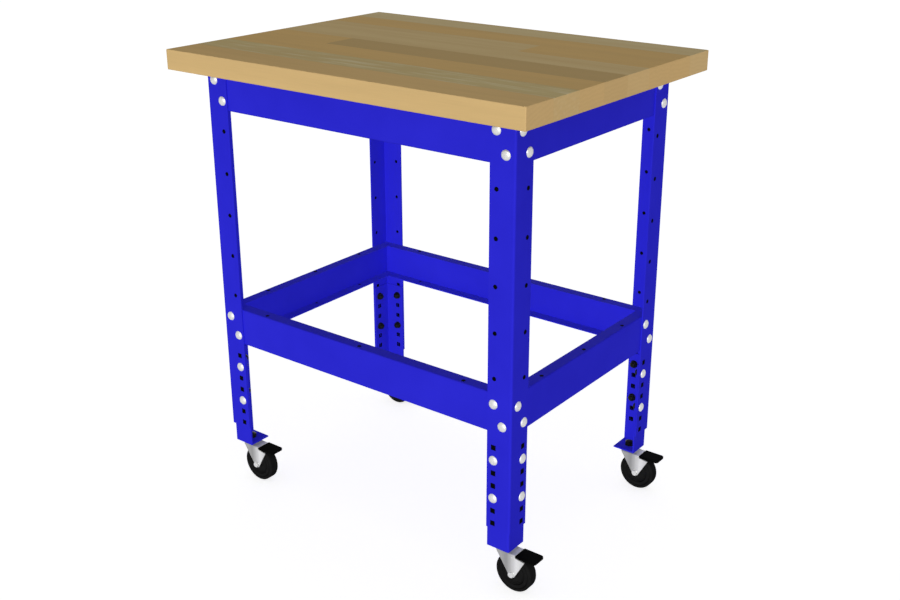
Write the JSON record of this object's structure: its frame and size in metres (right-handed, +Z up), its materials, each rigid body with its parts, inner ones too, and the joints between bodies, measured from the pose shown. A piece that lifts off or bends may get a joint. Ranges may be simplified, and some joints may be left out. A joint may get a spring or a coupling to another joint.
{
  "type": "assembly table",
  "caption": "Mobile assembly table: butcher-block worktop on a bolted steel frame of angle legs and channel rails, with telescoping feet and braked swivel casters.",
  "frame": {"origin": "on the floor under the middle of the worktop", "axes": "+Z up; +X along the worktop's long side, to the right of a person at the front; front faces -Y"},
  "size_m": [0.8128, 0.6096, 0.9144],
  "materials": {
    "butcher_block": "edge-glued hardwood staves, sanded and oiled, satin",
    "blue_powder_coat": "smooth blue powder coat on folded steel, semi-gloss",
    "zinc_plate": "bright zinc plate",
    "black_oxide": "black oxide on steel fasteners",
    "black_rubber": "moulded black rubber, matt",
    "black_plastic": "moulded black nylon, fine grain"
  },
  "bodies": {
    "frame": {"worktop": "butcher_block", "front_left_leg": "blue_powder_coat", "front_right_leg": "blue_powder_coat", "back_right_leg": "blue_powder_coat", "back_left_leg": "blue_powder_coat", "front_upper_rail": "blue_powder_coat", "front_lower_rail": "blue_powder_coat", "right_upper_rail": "blue_powder_coat", "right_lower_rail": "blue_powder_coat", "back_upper_rail": "blue_powder_coat", "back_lower_rail": "blue_powder_coat", "left_upper_rail": "blue_powder_coat", "left_lower_rail": "blue_powder_coat"},
    "front_left_foot_set": {"front_left_foot": "blue_powder_coat", "front_left_caster_stem": "zinc_plate", "front_left_stem_nut": "black_oxide", "front_left_swivel_race": "zinc_plate"},
    "front_left_caster": {"front_left_caster_yoke": "zinc_plate", "front_left_axle": "zinc_plate", "front_left_axle_nut": "zinc_plate"},
    "front_left_wheel": {"front_left_wheel_hub": "black_plastic", "front_left_tyre": "black_rubber"},
    "front_left_pedal": {"front_left_brake_pedal": "black_plastic"},
    "front_right_foot_set": {"front_right_foot": "blue_powder_coat", "front_right_caster_stem": "zinc_plate", "front_right_stem_nut": "black_oxide", "front_right_swivel_race": "zinc_plate"},
    "front_right_caster": {"front_right_caster_yoke": "zinc_plate", "front_right_axle": "zinc_plate", "front_right_axle_nut": "zinc_plate"},
    "front_right_wheel": {"front_right_wheel_hub": "black_plastic", "front_right_tyre": "black_rubber"},
    "front_right_pedal": {"front_right_brake_pedal": "black_plastic"},
    "back_right_foot_set": {"back_right_foot": "blue_powder_coat", "back_right_caster_stem": "zinc_plate", "back_right_stem_nut": "black_oxide", "back_right_swivel_race": "zinc_plate"},
    "back_right_caster": {"back_right_caster_yoke": "zinc_plate", "back_right_axle": "zinc_plate", "back_right_axle_nut": "zinc_plate"},
    "back_right_wheel": {"back_right_wheel_hub": "black_plastic", "back_right_tyre": "black_rubber"},
    "back_right_pedal": {"back_right_brake_pedal": "black_plastic"},
    "back_left_foot_set": {"back_left_foot": "blue_powder_coat", "back_left_caster_stem": "zinc_plate", "back_left_stem_nut": "black_oxide", "back_left_swivel_race": "zinc_plate"},
    "back_left_caster": {"back_left_caster_yoke": "zinc_plate", "back_left_axle": "zinc_plate", "back_left_axle_nut": "zinc_plate"},
    "back_left_wheel": {"back_left_wheel_hub": "black_plastic", "back_left_tyre": "black_rubber"},
    "back_left_pedal": {"back_left_brake_pedal": "black_plastic"}
  },
  "joints": [
    {"name": "front_left_foot_slide", "type": "slide", "parent": "frame", "child": "front_left_foot_set", "axis": [0, 0, 1], "range_m": [0, 0.0254]},
    {"name": "front_left_swivel", "type": "hinge", "parent": "front_left_foot_set", "child": "front_left_caster", "pos_m": [-0.32855, -0.22695, 0.0832], "axis": [0, 0, 1], "continuous": true},
    {"name": "front_left_wheel_spin", "type": "hinge", "parent": "front_left_caster", "child": "front_left_wheel", "pos_m": [-0.30315, -0.22695, 0.0381], "axis": [0, 1, 0], "continuous": true},
    {"name": "front_left_brake", "type": "hinge", "parent": "front_left_caster", "child": "front_left_pedal", "pos_m": [-0.30455, -0.22695, 0.073], "axis": [0, 1, 0], "range_deg": [0, 6]},
    {"name": "front_right_foot_slide", "type": "slide", "parent": "frame", "child": "front_right_foot_set", "axis": [0, 0, 1], "range_m": [0, 0.0254]},
    {"name": "front_right_swivel", "type": "hinge", "parent": "front_right_foot_set", "child": "front_right_caster", "pos_m": [0.32855, -0.22695, 0.0832], "axis": [0, 0, 1], "continuous": true},
    {"name": "front_right_wheel_spin", "type": "hinge", "parent": "front_right_caster", "child": "front_right_wheel", "pos_m": [0.35395, -0.22695, 0.0381], "axis": [0, 1, 0], "continuous": true},
    {"name": "front_right_brake", "type": "hinge", "parent": "front_right_caster", "child": "front_right_pedal", "pos_m": [0.35255, -0.22695, 0.073], "axis": [0, 1, 0], "range_deg": [0, 6]},
    {"name": "back_right_foot_slide", "type": "slide", "parent": "frame", "child": "back_right_foot_set", "axis": [0, 0, 1], "range_m": [0, 0.0254]},
    {"name": "back_right_swivel", "type": "hinge", "parent": "back_right_foot_set", "child": "back_right_caster", "pos_m": [0.32855, 0.22695, 0.0832], "axis": [0, 0, 1], "continuous": true},
    {"name": "back_right_wheel_spin", "type": "hinge", "parent": "back_right_caster", "child": "back_right_wheel", "pos_m": [0.35395, 0.22695, 0.0381], "axis": [0, 1, 0], "continuous": true},
    {"name": "back_right_brake", "type": "hinge", "parent": "back_right_caster", "child": "back_right_pedal", "pos_m": [0.35255, 0.22695, 0.073], "axis": [0, 1, 0], "range_deg": [0, 6]},
    {"name": "back_left_foot_slide", "type": "slide", "parent": "frame", "child": "back_left_foot_set", "axis": [0, 0, 1], "range_m": [0, 0.0254]},
    {"name": "back_left_swivel", "type": "hinge", "parent": "back_left_foot_set", "child": "back_left_caster", "pos_m": [-0.32855, 0.22695, 0.0832], "axis": [0, 0, 1], "continuous": true},
    {"name": "back_left_wheel_spin", "type": "hinge", "parent": "back_left_caster", "child": "back_left_wheel", "pos_m": [-0.30315, 0.22695, 0.0381], "axis": [0, 1, 0], "continuous": true},
    {"name": "back_left_brake", "type": "hinge", "parent": "back_left_caster", "child": "back_left_pedal", "pos_m": [-0.30455, 0.22695, 0.073], "axis": [0, 1, 0], "range_deg": [0, 6]}
  ]
}
